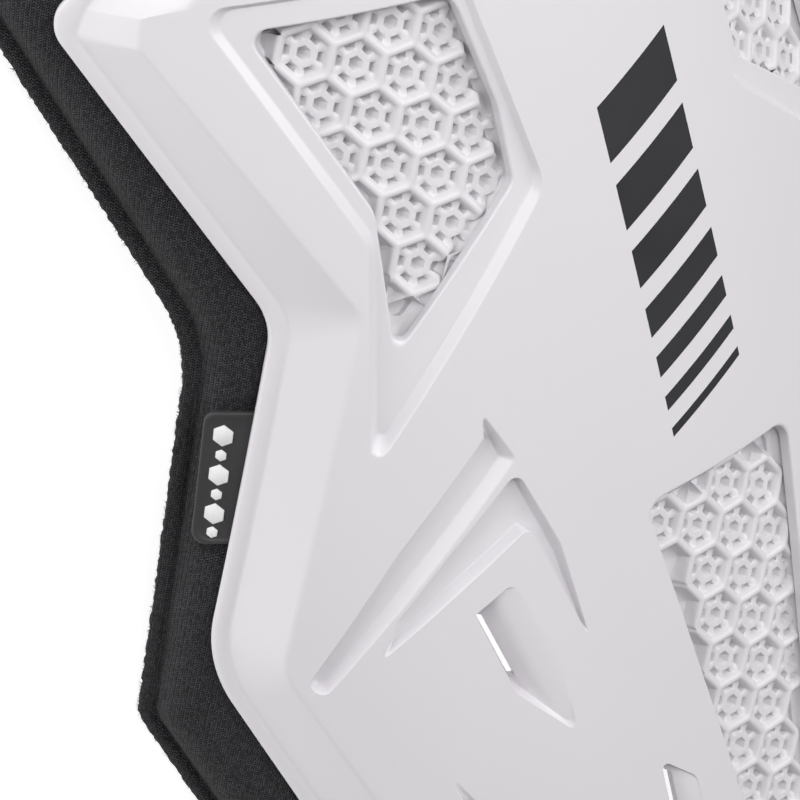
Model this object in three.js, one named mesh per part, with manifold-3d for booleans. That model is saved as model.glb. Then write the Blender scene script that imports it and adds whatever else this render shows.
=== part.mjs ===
import * as THREE from "three";
import { mergeVertices } from "three/addons/utils/BufferGeometryUtils.js";
import Module from "manifold-3d";

// Front plate of a chest protector, lying front up: +X to the viewer's right, +Y to the head, +Z out of the
// chest. Everything is laid out flat first (u across, v along the spine, h out of the plate, in millimetres)
// and then bent round the chest by one function.

// The bend.
const CHEST_RADIUS = 170;
const SPINE_RADIUS = 2000;
const SPINE_LEVEL_V = -49;
const REST_HEIGHT = 90;
const CENTRE_Y = -18.5;

// The moulded shell.
const WALL = 3;
const LIP_WIDTH = 4.7;
const LIP_LEVEL = -8.4;
const LIP_ROUND = 0.8;
const RIDGE_INSET = 19.5;
const RIDGE_CORNER = 0.4;
const SLOPE = -LIP_LEVEL / (RIDGE_INSET - LIP_WIDTH);
const SLOPE_WALL = WALL * Math.hypot(1, SLOPE);
const LIP_UNDER = LIP_LEVEL - WALL;
const GAP = 0.35;

// The vents.
const CELL_PITCH = 13;
const CELL_HOLE = 9.6;
const GRILLE_THICK = 4.8;
const GRILLE_MARGIN = 4.5;
const GRILLE_EDGE = 1.6;
const RECESS_BEVEL = 2.6;
const RECESS_UNDER = -5.2;
const UPPER_LATTICE = { u: -78, v: 109.4, turn: 2 };
const LOWER_LATTICE = { u: 3.4, v: -36.8, turn: 0 };

// The pad and the tag.
const PAD_TOP = LIP_UNDER - GAP;
const PAD_THICK = 10;
const FLANGE_THICK = 3.6;
const FLANGE_WIDTH = 4.5;
const PAD_RISE = 6;
const TAG_THICK = 1.3;

const PUNCH_REACH = 16;
// The bend is made in flat strips: so wide across the chest, so long along the spine.
const STRIP_ACROSS = 25;
const STRIP_ALONG = 100;

// Outlines: corners with u, v and the corner's radius. A half outline runs from the neck down the viewer's left.
const SHELL_HALF = [
  { u: -24, v: 141, r: 26 },
  { u: -58, v: 161, r: 12 },
  { u: -90, v: 161, r: 16 },
  { u: -112, v: 145.9, r: 2 },
  { u: -133.3, v: 131, r: 8 },
  { u: -134.9, v: 125.7, r: 8 },
  { u: -103.1, v: 45.9, r: 16 },
  { u: -142.9, v: -40.6, r: 32 },
  { u: -97.9, v: -165, r: 20 },
  { u: -58, v: -192, r: 30 },
];
// The shoulder's three corners of that outline, where the lip meets the slope and on the ridge.
const SHOULDER_FIRST = 3;
const LIP_SHOULDER = [
  { u: -109.3, v: 142, r: 2 },
  { u: -125.2, v: 130.9, r: 2.5 },
  { u: -129.5, v: 125, r: 2.5 },
];
const RIDGE_SHOULDER = [
  { u: -101, v: 129.7, r: 2 },
  { u: -111.7, v: 129.6, r: 1 },
  { u: -114.5, v: 122.4, r: 1.2 },
];
const PAD_HALF = [
  { u: -20, v: 155, r: 26 },
  { u: -52, v: 174, r: 14 },
  { u: -97, v: 174, r: 18 },
  { u: -159, v: 138, r: 10 },
  { u: -127, v: 41, r: 32 },
  { u: -169.8, v: -60, r: 7 },
  { u: -119.5, v: -178, r: 22 },
  { u: -66, v: -211, r: 30 },
];
const PAD_HOLLOW_HALF = [
  { u: -88, v: 116, r: 10 },
  { u: -80, v: 46, r: 25 },
  { u: -112, v: -42, r: 30 },
  { u: -78, v: -150, r: 20 },
  { u: -58, v: -166, r: 20 },
];
const UPPER_RECESS = [
  { u: -100.2, v: 128.6, r: 4.5 },
  { u: -76.2, v: 62.5, r: 9 },
  { u: -90, v: 4.9, r: 2.4 },
  { u: -30.7, v: 61.8, r: 9 },
  { u: -38, v: 120.6, r: 6 },
];
const UPPER_OPENING = [
  { u: -90.5, v: 120, r: 3.5 },
  { u: -72.4, v: 69, r: 8 },
  { u: -76.4, v: 32.6, r: 2.2 },
  { u: -37.6, v: 64.6, r: 4 },
  { u: -36.6, v: 84, r: 20 },
  { u: -40.8, v: 113.8, r: 6 },
];
const LOWER_OPENING_HALF = [
  { u: -24.2, v: -28, r: 5 },
  { u: -8.2, v: -160, r: 4 },
];

// Grooves: the edge of each corner on the face, and the floor's corner below it with its depth.
const PILL_GROOVE = [
  { u: -60, v: 13, r: 0.6, fu: -60.5, fv: 9.5, fr: 0.4, depth: 0.5 },
  { u: -61.1, v: 6, r: 1, fu: -60.6, fv: 4.8, fr: 0.6, depth: 3 },
  { u: -88, v: -16.9, r: 2, fu: -87.4, fv: -17.8, fr: 2, depth: 3 },
  { u: -116.8, v: -46.3, r: 2.4, fu: -115.6, fv: -46.6, fr: 1.4, depth: 3 },
  { u: -113.4, v: -50.4, r: 2.4, fu: -114.2, fv: -48.4, fr: 1.4, depth: 3 },
  { u: -83.2, v: -25.6, r: 2, fu: -85.6, fv: -23.5, fr: 2, depth: 3 },
  { u: -54.6, v: -1.8, r: 1.5, fu: -58.2, fv: -0.8, fr: 0.8, depth: 3 },
];
const FORK_GROOVE = [
  { u: -55, v: -5, r: 2.4, fu: -55.8, fv: -7.4, fr: 1.2, depth: 3 },
  { u: -77.2, v: -22, r: 2, fu: -76.7, fv: -23, fr: 2, depth: 3 },
  { u: -91.6, v: -34.2, r: 2.8, fu: -90.9, fv: -34.9, fr: 2, depth: 2.6 },
  { u: -97.9, v: -43.8, r: 0.8, fu: -95.3, fv: -41, fr: 0.4, depth: 1.6 },
  { u: -76, v: -31.8, r: 2, fu: -76.6, fv: -29.2, fr: 2, depth: 3 },
  { u: -55.3, v: -20.4, r: 1.6, fu: -56.8, fv: -19.4, fr: 1, depth: 3 },
  { u: -46.3, v: -56.6, r: 0.8, fu: -47.3, fv: -53, fr: 0.4, depth: 1.4 },
  { u: -48.4, v: -28, r: 2.8, fu: -50.2, fv: -30.4, fr: 2, depth: 2 },
];
const SIDE_GROOVE = [
  { u: -88.6, v: -78.5, r: 0.6, fu: -87.6, fv: -82, fr: 0.4, depth: 0.5 },
  { u: -83, v: -104, r: 2.8, fu: -82.2, fv: -104, fr: 2, depth: 2.4 },
  { u: -71, v: -128, r: 0.8, fu: -73.6, fv: -122.5, fr: 0.4, depth: 0.8 },
  { u: -77.4, v: -101, r: 2.8, fu: -79.4, fv: -101.6, fr: 2, depth: 2.4 },
];

// Louvres: the edge on the face, the line its floor falls from, and the slot along its deep side.
const LOUVRES = [
  {
    edge: [
      { u: -73.2, v: -38.6, r: 0.8 },
      { u: -67.5, v: -63, r: 2 },
      { u: -54.2, v: -79.4, r: 1.6 },
      { u: -54.6, v: -62, r: 14 },
      { u: -61.6, v: -33, r: 3 },
    ],
    hinge: { u: -61.6, v: -35.7, du: -0.979, dv: -0.205, fall: 0.56 },
    slot: [
      { u: -72.1, v: -41.7, r: 0.4 },
      { u: -67.4, v: -61.9, r: 0.4 },
      { u: -66.1, v: -61.6, r: 0.4 },
      { u: -70.9, v: -41.4, r: 0.4 },
    ],
  },
  {
    edge: [
      { u: -34.5, v: -97.4, r: 1.2 },
      { u: -33.8, v: -130, r: 4 },
      { u: -27.6, v: -143, r: 1.6 },
      { u: -24.4, v: -128, r: 12 },
      { u: -25.4, v: -106.6, r: 4 },
    ],
    hinge: { u: -24.6, v: -110, du: -1, dv: 0, fall: 0.6 },
    slot: [
      { u: -34.2, v: -100, r: 0.5 },
      { u: -33.7, v: -126, r: 0.5 },
      { u: -31.4, v: -126, r: 0.5 },
      { u: -31.8, v: -100, r: 0.5 },
    ],
  },
];
const TAG = [
  { u: -126.1, v: 25.1, r: 3.4 },
  { u: -139.2, v: -9.3, r: 3.4 },
  { u: -123.4, v: -11.7, r: 0.8 },
  { u: -110.4, v: 22, r: 0.8 },
];

const wasm = await Module();
wasm.setup();

// A half outline closed by its mirror image.
function whole(half) {
  const other = half.map((c) => ({ ...c, u: -c.u })).reverse();
  return [...half, ...other];
}

// A table turned over to the other side of the plate, still running the same way round.
function onSide(table, side) {
  if (side < 0) return table;
  return table.map((c) => ({ ...c, u: -c.u, fu: -c.fu })).reverse();
}

// The corners moved inwards by inset, each edge staying parallel to itself.
function inset(table, d) {
  return table.map((c, i) => {
    const before = table[(i + table.length - 1) % table.length];
    const after = table[(i + 1) % table.length];
    const a = new THREE.Vector2(c.u - before.u, c.v - before.v).normalize();
    const b = new THREE.Vector2(after.u - c.u, after.v - c.v).normalize();
    const t = (-d * (1 - a.dot(b))) / a.cross(b);
    const along = Math.abs(a.cross(b)) < 1e-6 ? 0 : t;
    return { ...c, u: c.u - a.y * d + a.x * along, v: c.v + a.x * d + a.y * along };
  });
}

// The shell's outline set in by d with its own shoulder corners, its other corners turned by a share as tightly.
function setIn(table, d, shoulder, share) {
  const half = inset(table, d).slice(0, table.length / 2);
  const moved = half.map((c, i) => shoulder[i - SHOULDER_FIRST] ?? { ...c, r: c.r * share });
  return whole(moved.map((c, i) => ({ ...c, steps: arcSteps(table[i].r) })));
}

// How many chords a rounded corner gets.
function arcSteps(radius) {
  if (radius < 3) return 1;
  return radius < 31 ? 2 : 3;
}

// The closed line of an outline with its corners rounded, as points of u, v and the corner's own depth.
function rounded(table) {
  return table.flatMap((c, i) => {
    const before = table[(i + table.length - 1) % table.length];
    const after = table[(i + 1) % table.length];
    const a = new THREE.Vector2(c.u - before.u, c.v - before.v);
    const b = new THREE.Vector2(after.u - c.u, after.v - c.v);
    const room = 0.46 * Math.min(a.length(), b.length());
    const turn = Math.atan2(a.cross(b), a.dot(b));
    const half = Math.tan(Math.abs(turn) / 2);
    const radius = Math.min(c.r, room / half);
    a.normalize();
    const sign = Math.sign(turn);
    const cu = c.u - a.x * radius * half - a.y * radius * sign;
    const cv = c.v - a.y * radius * half + a.x * radius * sign;
    const from = Math.atan2(-a.x * sign, a.y * sign);
    const steps = c.steps ?? arcSteps(c.r);
    return Array.from({ length: steps + 1 }, (_, k) => {
      const angle = from + (turn * k) / steps;
      return { u: cu + radius * Math.cos(angle), v: cv + radius * Math.sin(angle), depth: c.depth };
    });
  });
}

// A solid through rings of equal length, the lowest first, bent round the chest; a ring is points of u, v, h.
function loft(rings, strips = true) {
  const count = rings[0].length;
  const points = rings.flatMap((line) => line.map((p) => [p.u, p.v, p.h]));
  const top = (rings.length - 1) * count;
  const loop = Array.from({ length: count }, (_, i) => i);
  const sides = [];
  for (let low = 0; low < top; low += count) {
    for (const i of loop) {
      const j = (i + 1) % count;
      const high = low + count;
      sides.push([low + i, low + j, high + j], [low + i, high + j, high + i]);
    }
  }
  const polygons = [...sides, [...loop].reverse(), loop.map((i) => top + i)];
  const narrow = strips ? cutAlong(points, polygons, 0, STRIP_ACROSS) : polygons;
  const short = strips ? cutAlong(points, narrow, 1, STRIP_ALONG) : polygons;
  const faces = short.flatMap((polygon) => triangles(points, polygon));
  const geometry = new THREE.BufferGeometry();
  geometry.setAttribute("position", new THREE.Float32BufferAttribute(points.flatMap(bend), 3));
  geometry.setIndex(faces.flat());
  return solid(geometry);
}

// A ring of an outline at one height, or at a height that follows the place.
function ring(table, d, h) {
  const level = typeof h === "function" ? h : () => h;
  return rounded(inset(table, d)).map((p) => ({ ...p, h: level(p) }));
}

// An upright prism between two heights.
function prism(table, low, high) {
  return loft([ring(table, 0, low), ring(table, 0, high)]);
}

// A tool that cuts right through the plate.
function punch(table) {
  return loft([ring(table, 0, -PUNCH_REACH), ring(table, 0, PUNCH_REACH)], false);
}

function solid(geometry) {
  const bare = geometry.clone();
  bare.deleteAttribute("normal");
  bare.deleteAttribute("uv");
  const merged = mergeVertices(bare, 1e-4);
  const triVerts = new Uint32Array(merged.index.array);
  const vertProperties = new Float32Array(merged.attributes.position.array);
  return new wasm.Manifold(new wasm.Mesh({ numProp: 3, vertProperties, triVerts }));
}

// The groove's cutter, from its floor up through the face.
function grooveCutter(table) {
  const floor = table.map((c) => ({ u: c.fu, v: c.fv, r: c.fr, depth: c.depth, steps: arcSteps(c.r) }));
  const low = rounded(floor).map((p) => ({ ...p, h: -p.depth }));
  return loft([low, ring(table, 0, 0), ring(table, 0, 2)]);
}

// The wall below a groove.
function grooveWall(table) {
  const deepest = Math.max(...table.map((c) => c.depth));
  return prism(inset(table, -1.5), -deepest - WALL * 0.8, -WALL * 0.7);
}

function louvreDepth(hinge, p) {
  const away = (p.u - hinge.u) * hinge.du + (p.v - hinge.v) * hinge.dv;
  return Math.max(0.05, away * hinge.fall);
}

// The recess of an upper vent is deepest at its lower tip.
function recessDepth(p) {
  return THREE.MathUtils.mapLinear(p.v, 8, 120, 3.1, 1.5);
}

// Cell centres of a vent's lattice that lie inside an outline.
function cells(lattice, table) {
  const turn = THREE.MathUtils.degToRad(lattice.turn);
  const line = rounded(table);
  const inside = (u, v) => {
    let odd = false;
    line.forEach((p, i) => {
      const q = line[(i + 1) % line.length];
      const crosses = p.v > v !== q.v > v;
      if (crosses && u < p.u + ((v - p.v) * (q.u - p.u)) / (q.v - p.v)) odd = !odd;
    });
    return odd;
  };
  const found = [];
  for (let i = -12; i <= 12; i++) {
    for (let j = -16; j <= 16; j++) {
      const a = CELL_PITCH * i * Math.cos(Math.PI / 6);
      const b = -CELL_PITCH * (j + i / 2);
      const u = lattice.u + a * Math.cos(turn) - b * Math.sin(turn);
      const v = lattice.v + a * Math.sin(turn) + b * Math.cos(turn);
      if (inside(u, v)) found.push({ u, v, turn });
    }
  }
  return found;
}

// A honeycomb plate below an opening: one hexagon is pierced through each cell.
function grille(opening, lattice, top, side) {
  const plate = inset(opening, -GRILLE_MARGIN);
  let made = prism(onSide(plate, side), top - GRILLE_THICK, top);
  const window = punch(onSide(inset(plate, GRILLE_EDGE), side));
  cells(lattice, inset(plate, GRILLE_EDGE + 2.5)).forEach((cell) => {
    const hexagon = Array.from({ length: 6 }, (_, k) => {
      const angle = cell.turn + (k * Math.PI) / 3;
      const reach = CELL_HOLE / Math.sqrt(3);
      return { u: cell.u + reach * Math.cos(angle), v: cell.v + reach * Math.sin(angle) };
    });
    const corners = side < 0 ? hexagon : hexagon.map((p) => ({ ...p, u: -p.u })).reverse();
    const at = (h) => corners.map((p) => ({ ...p, h }));
    const hole = loft([at(-PUNCH_REACH), at(PUNCH_REACH)], false).intersect(window);
    made = made.subtract(hole);
  });
  return made;
}

// Polygons are cut along the edges of the strips; new points join the list.
function cutAlong(points, polygons, axis, width) {
  const places = points.map((p) => p[axis] / width);
  let pieces = polygons;
  for (let line = Math.ceil(Math.min(...places)); line <= Math.max(...places); line++) {
    const side = (i) => {
      const away = points[i][axis] - line * width;
      return Math.abs(away) < 1e-4 ? 0 : Math.sign(away);
    };
    const crossings = new Map();
    const crossing = (a, b) => {
      const [low, high] = a < b ? [a, b] : [b, a];
      const key = low + "_" + high;
      if (!crossings.has(key)) {
        const [p, q] = [points[low], points[high]];
        const share = (line * width - p[axis]) / (q[axis] - p[axis]);
        crossings.set(key, points.push(p.map((x, k) => x + (q[k] - x) * share)) - 1);
      }
      return crossings.get(key);
    };
    pieces = pieces.flatMap((polygon) => {
      const walk = polygon.flatMap((a, k) => {
        const b = polygon[(k + 1) % polygon.length];
        return side(a) * side(b) < 0 ? [a, crossing(a, b)] : [a];
      });
      const signs = walk.map(side);
      if (!signs.includes(1) || !signs.includes(-1)) return [polygon];
      const place = (i) => points[i][1 - axis];
      return [...partOn(walk, signs, -1, place), ...partOn(walk, signs, 1, place)];
    });
  }
  return pieces;
}

// The pieces of a polygon on one side of a line that it crosses.
function partOn(walk, signs, wanted, place) {
  const count = walk.length;
  const start = signs.findIndex((x, i) => x !== wanted && signs[(i + 1) % count] === wanted);
  const chains = [];
  for (let k = 0; k < count; k++) {
    const i = (start + k) % count;
    const next = (i + 1) % count;
    if (signs[i] !== wanted && signs[next] === wanted) chains.push([walk[i]]);
    if (signs[i] === wanted) chains[chains.length - 1].push(walk[i]);
    if (signs[i] === wanted && signs[next] !== wanted) chains[chains.length - 1].push(walk[next]);
  }
  const ends = chains.flatMap((chain, n) => [
    { n, at: place(chain[0]), last: false },
    { n, at: place(chain[chain.length - 1]), last: true },
  ]);
  ends.sort((a, b) => a.at - b.at);
  const follows = new Map();
  for (let k = 0; k < ends.length; k += 2) {
    const [a, b] = ends[k].last ? [ends[k], ends[k + 1]] : [ends[k + 1], ends[k]];
    follows.set(a.n, b.n);
  }
  const pieces = [];
  const used = new Set();
  chains.forEach((_, n) => {
    const piece = [];
    for (let m = n; !used.has(m); m = follows.get(m)) {
      used.add(m);
      piece.push(...chains[m]);
    }
    if (piece.length) pieces.push(piece);
  });
  return pieces;
}

function triangles(points, polygon) {
  if (polygon.length === 3) return [polygon];
  const line = polygon.map((i) => new THREE.Vector2(points[i][0], points[i][1]));
  const area = THREE.ShapeUtils.area(line);
  if (Math.abs(area) < 1e-3) return polygon.slice(2).map((c, k) => [polygon[0], polygon[k + 1], c]);
  const made = THREE.ShapeUtils.triangulateShape(line, []);
  return made.map(([a, b, c]) => (area > 0 ? [a, b, c] : [c, b, a]).map((k) => polygon[k]));
}

// The place between the two edges of its strip.
function strip(x, width) {
  const low = Math.floor(x / width);
  return { low: low * width, high: (low + 1) * width, share: x / width - low };
}

// The bend: round the chest from side to side, and a slight bow along the spine.
function bend([u, v, h]) {
  const across = strip(u, STRIP_ACROSS);
  const along = strip(v, STRIP_ALONG);
  const { lerp } = THREE.MathUtils;
  const reach = CHEST_RADIUS + h;
  const x = lerp(Math.sin(across.low / CHEST_RADIUS), Math.sin(across.high / CHEST_RADIUS), across.share);
  const drop = lerp(Math.cos(across.low / CHEST_RADIUS), Math.cos(across.high / CHEST_RADIUS), across.share);
  const bow = (w) => (w - SPINE_LEVEL_V) ** 2 / (2 * SPINE_RADIUS);
  const sag = lerp(bow(along.low), bow(along.high), along.share);
  return [reach * x, v - CENTRE_Y, reach * drop - CHEST_RADIUS - sag + REST_HEIGHT];
}

const protector = new THREE.Group();
protector.name = "chest_protector_front";

function addPiece(name, made, colour, roughness) {
  const { numProp, vertProperties, triVerts } = made.getMesh();
  const geometry = new THREE.BufferGeometry();
  geometry.setAttribute("position", new THREE.BufferAttribute(new Float32Array(vertProperties), numProp));
  geometry.setIndex(new THREE.BufferAttribute(new Uint32Array(triVerts), 1));
  geometry.computeVertexNormals();
  const material = new THREE.MeshStandardMaterial({ color: colour, roughness, metalness: 0 });
  const mesh = new THREE.Mesh(geometry, material);
  mesh.name = name;
  protector.add(mesh);
}

// The shell: a lip all round, a slope up to the ridge and a flat face, hollow below.
const shellEdge = whole(SHELL_HALF);
const shellLip = setIn(shellEdge, LIP_WIDTH, LIP_SHOULDER, 1);
const shellRidge = setIn(shellEdge, RIDGE_INSET, RIDGE_SHOULDER, RIDGE_CORNER);
const cavityInset = (SLOPE_WALL - WALL) / SLOPE;
let shell = loft([
  ring(shellEdge, 0, LIP_UNDER),
  ring(shellEdge, 0, LIP_LEVEL - LIP_ROUND),
  ring(shellEdge, LIP_ROUND, LIP_LEVEL),
  ring(shellLip, 0, LIP_LEVEL),
  ring(shellRidge, 0, 0),
]);
const cavity = loft([
  ring(shellLip, cavityInset - 1 / SLOPE, LIP_UNDER - 1),
  ring(shellRidge, cavityInset, -WALL),
]);
shell = shell.subtract(cavity);

const lowerOpening = whole(LOWER_OPENING_HALF);
for (const side of [-1, 1]) {
  const grooves = [PILL_GROOVE, FORK_GROOVE, SIDE_GROOVE].map((table) => onSide(table, side));
  const recess = onSide(UPPER_RECESS, side);
  shell = shell.add(prism(inset(recess, -WALL), RECESS_UNDER, -WALL * 0.7));
  grooves.forEach((table) => {
    shell = shell.add(grooveWall(table));
  });
  for (const { edge, hinge } of LOUVRES) {
    const turned = { ...hinge, u: -side * hinge.u, du: -side * hinge.du };
    const under = (p) => -Math.max(WALL * 0.9, louvreDepth(turned, p) + WALL * 0.8);
    const wider = inset(onSide(edge, side), -1.5);
    shell = shell.add(loft([ring(wider, 0, under), ring(wider, 0, -WALL * 0.7)], false));
  }
  grooves.forEach((table) => {
    shell = shell.subtract(grooveCutter(table));
  });
  for (const { edge, hinge, slot } of LOUVRES) {
    const turned = { ...hinge, u: -side * hinge.u, du: -side * hinge.du };
    const table = onSide(edge, side);
    const scoop = loft([ring(table, 0, (p) => -louvreDepth(turned, p)), ring(table, 0, 2)], false);
    shell = shell.subtract(scoop).subtract(punch(onSide(slot, side)));
  }
  const recessCut = loft([
    ring(recess, RECESS_BEVEL, (p) => -recessDepth(p)),
    ring(recess, 0, 0),
    ring(recess, 0, 2),
  ]);
  shell = shell.subtract(recessCut).subtract(punch(onSide(UPPER_OPENING, side)));
}
shell = shell.subtract(punch(lowerOpening));
addPiece("chest_shell", shell, 0xdedde0, 0.35);

// The three honeycomb grilles lie below the shell's openings.
addPiece("vent_grille_left", grille(UPPER_OPENING, UPPER_LATTICE, RECESS_UNDER - GAP, -1), 0xe4e4e6, 0.45);
addPiece("vent_grille_right", grille(UPPER_OPENING, UPPER_LATTICE, RECESS_UNDER - GAP, 1), 0xe4e4e6, 0.45);
addPiece("vent_grille_centre", grille(lowerOpening, LOWER_LATTICE, -WALL - GAP, -1), 0xe4e4e6, 0.45);

// The pad: a foam frame behind the shell, thin at its rim, open behind the vents and louvres.
const padEdge = whole(PAD_HALF);
const padUnder = PAD_TOP - PAD_THICK;
let pad = loft([
  ring(padEdge, 0, padUnder),
  ring(padEdge, 0, padUnder + FLANGE_THICK),
  ring(padEdge, FLANGE_WIDTH, padUnder + FLANGE_THICK),
  ring(padEdge, FLANGE_WIDTH + PAD_RISE, PAD_TOP),
]);
pad = pad.subtract(prism(whole(PAD_HOLLOW_HALF), padUnder - 2, PAD_TOP + 2));
const pocket = inset(TAG, -GAP);
pad = pad.subtract(prism(pocket, PAD_TOP - TAG_THICK - GAP, PAD_TOP + 3));
addPiece("foam_pad", pad, 0x2d2d2e, 0.95);

// The tag is tucked under the shell's lip, in a pocket of the pad.
addPiece("rubber_tag", prism(TAG, PAD_TOP - TAG_THICK, PAD_TOP), 0x444445, 0.6);

export default protector;
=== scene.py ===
import math
from collections import namedtuple

import bmesh
import bpy
import numpy as np
from mathutils import Matrix, Vector
from mathutils.geometry import delaunay_2d_cdt
from mathutils.kdtree import KDTree


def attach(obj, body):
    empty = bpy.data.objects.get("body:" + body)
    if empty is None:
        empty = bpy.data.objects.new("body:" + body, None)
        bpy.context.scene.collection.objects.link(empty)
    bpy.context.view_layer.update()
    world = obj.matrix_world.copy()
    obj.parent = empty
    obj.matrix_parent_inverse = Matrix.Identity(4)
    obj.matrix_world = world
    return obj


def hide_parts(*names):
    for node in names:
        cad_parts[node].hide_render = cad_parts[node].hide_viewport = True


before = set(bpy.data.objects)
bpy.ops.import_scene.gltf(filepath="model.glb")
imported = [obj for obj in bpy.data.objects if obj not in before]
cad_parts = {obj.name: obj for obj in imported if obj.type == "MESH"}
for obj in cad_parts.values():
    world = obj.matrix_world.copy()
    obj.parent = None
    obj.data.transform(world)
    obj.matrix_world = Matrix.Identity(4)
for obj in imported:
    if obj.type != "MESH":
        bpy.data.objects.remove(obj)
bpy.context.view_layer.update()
scene = bpy.context.scene

# Front plate of a chest protector, lying front up. As in the part's source, every piece is laid out flat in
# millimetres (u across, v to the head, h out of the plate) and then bent round the chest by one function.
CHEST_RADIUS = 170.0
SPINE_RADIUS = 2000.0
SPINE_LEVEL_V = -49.0
REST_HEIGHT = 90.0
CENTRE_Y = -18.5

# The moulded shell.
WALL = 3.0
LIP_WIDTH = 4.7
LIP_LEVEL = -8.4
LIP_ROUND = 1.1
LIP_UNDER = LIP_LEVEL - WALL
LIP_CROWN = 0.3
LIP_CREASE = 0.12
CREASE_WIDTH = 0.9
CREASE_SOFT = 0.6
RIDGE_SOFT = 0.5
RIDGE_INSET = 19.5
RIDGE_CORNER = 0.4
SLOPE = -LIP_LEVEL / (RIDGE_INSET - LIP_WIDTH)
RECESS_UNDER = -5.2
EDGE_ROUND = 0.7
OPENING_DRAFT = 0.15
GROOVE_WALL = 0.8 * WALL
RECESS_BOSS = 1.2
# A louvre's floor: how low it starts, the soft step over its first part, and the power of its hollow.
LOUVRE_SINK = 0.02
LOUVRE_STEP = 0.5
LOUVRE_STEP_PART = 0.25
LOUVRE_CURVE = 3.0
LOUVRE_BOSS = 0.8
# The distances from the edge at which the rim is drawn.
RIM_STEPS = [1.6, 2.4, 3.2, 3.6, 4, 4.3, 4.6, 4.9, 5.3, 5.8, 6.6, 12]
RIM_STEPS += [18.3, 18.7, 19.1, 19.5, 19.9, 20.3, 20.7]
# The shares of the way from a bevel's edge to its floor at which it is drawn.
BEVEL_SOFT = 0.12
BEVEL_STEPS = (-0.12, -0.06, 0, 0.06, 0.12, 0.45, 0.76, 0.82, 0.88, 0.94, 1)
LOUVRE_STEPS = (-0.12, -0.06, 0, 0.06, 0.12, 0.5, 0.88, 0.94, 1)

# The vents.
CELL_PITCH = 13.0
GRILLE_THICK = 4.8
GRILLE_MARGIN = 4.5
UPPER_GRILLE_TOP = RECESS_UNDER - 0.35
LOWER_GRILLE_TOP = -WALL - 0.35

# The pad and its tag.
PAD_TOP = LIP_UNDER - 0.45
PAD_UNDER = -21.75
TAG_LEVEL = -13.5
TAG_THICK = 1.3
# From which v to which the cover is pressed flat below the tag and is held, and how soft the ends are.
TAG_BED = (-12.8, 26.2)
TAG_HELD = (-14.0, 27.0)
TAG_BLEND = 3.0

Corner = namedtuple("Corner", "u v r")
Fold = namedtuple("Fold", "u v r fu fv fr depth")
Lattice = namedtuple("Lattice", "u v turn bare_end finned gap")
Profile = namedtuple("Profile", "inset level")


def rows(kind, *table):
    """The rows of a table, each of one kind."""
    return [kind(*row) for row in table]


# Outlines: corners with their radius, counter-clockwise.
# A half outline runs from the neck down the viewer's left.
SHELL_HALF = rows(
    Corner, (-24, 141, 26), (-58, 161, 12), (-90, 161, 16), (-112, 145.9, 2), (-133.3, 131, 8),
    (-134.9, 125.7, 8), (-103.1, 45.9, 16), (-142.9, -40.6, 32), (-97.9, -165, 20), (-58, -192, 30),
)
# The shoulder's three corners of that outline, where the lip meets the slope and on the ridge.
SHOULDER_FIRST = 3
LIP_SHOULDER = rows(Corner, (-109.3, 142, 2), (-125.2, 130.9, 2.5), (-129.5, 125, 2.5))
RIDGE_SHOULDER = rows(Corner, (-101, 129.7, 2), (-111.7, 129.6, 1), (-114.5, 122.4, 1.2))
PAD_HALF = rows(
    Corner, (-20, 155, 26), (-52, 174, 14), (-97, 174, 18), (-159, 138, 10), (-127, 41, 32),
    (-169.8, -60, 7), (-119.5, -178, 22), (-66, -211, 30),
)
PAD_HOLLOW_HALF = rows(
    Corner, (-88, 116, 10), (-80, 46, 25), (-112, -42, 30), (-78, -150, 20), (-58, -166, 20),
)
UPPER_RECESS = rows(
    Corner, (-100.2, 128.6, 4.5), (-76.2, 62.5, 9), (-90, 4.9, 2.4), (-30.7, 61.8, 9), (-38, 120.6, 6),
)
UPPER_RECESS_FLOOR = rows(
    Corner, (-97, 126.8, 4), (-73.6, 62.4, 11), (-86, 11.5, 1.2), (-32, 63.5, 8), (-39.3, 119.3, 5),
)
UPPER_OPENING = rows(
    Corner, (-90.5, 120, 3.5), (-72.4, 69, 8), (-76.4, 32.6, 2.2), (-37.6, 64.6, 4), (-36.6, 84, 20),
    (-40.8, 113.8, 6),
)
LOWER_OPENING_HALF = [Corner(-24.2, -28, 5), Corner(-8.2, -160, 4)]
TAG = rows(Corner, (-126.1, 25.1, 3.4), (-139.2, -9.3, 3.4), (-123.4, -11.7, 0.8), (-110.4, 22, 0.8))
# Where a vent's cells lie: one cell's middle, their turn in degrees, whether the cells beside the breastbone
# end without a rib, from which v to which the blind cells have fins, and the blind cell that has no floor.
# A cell whose middle lies inside the webs' outline has a web; those round them are blind.
NO_CELL = (99, 99)
UPPER_LATTICE = Lattice(-78, 109.4, 2.0, True, (0, 46), (-89.3, 115.9))
LOWER_LATTICE = Lattice(3.4, -36.8, 0.0, False, (-34, 0), NO_CELL)
LOWER_WEBS = rows(
    Corner, (-23, -32, 1), (-22, -42, 1), (-13.5, -44, 1), (-6, -160, 1), (8, -160, 1), (22, -32, 1),
)

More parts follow.
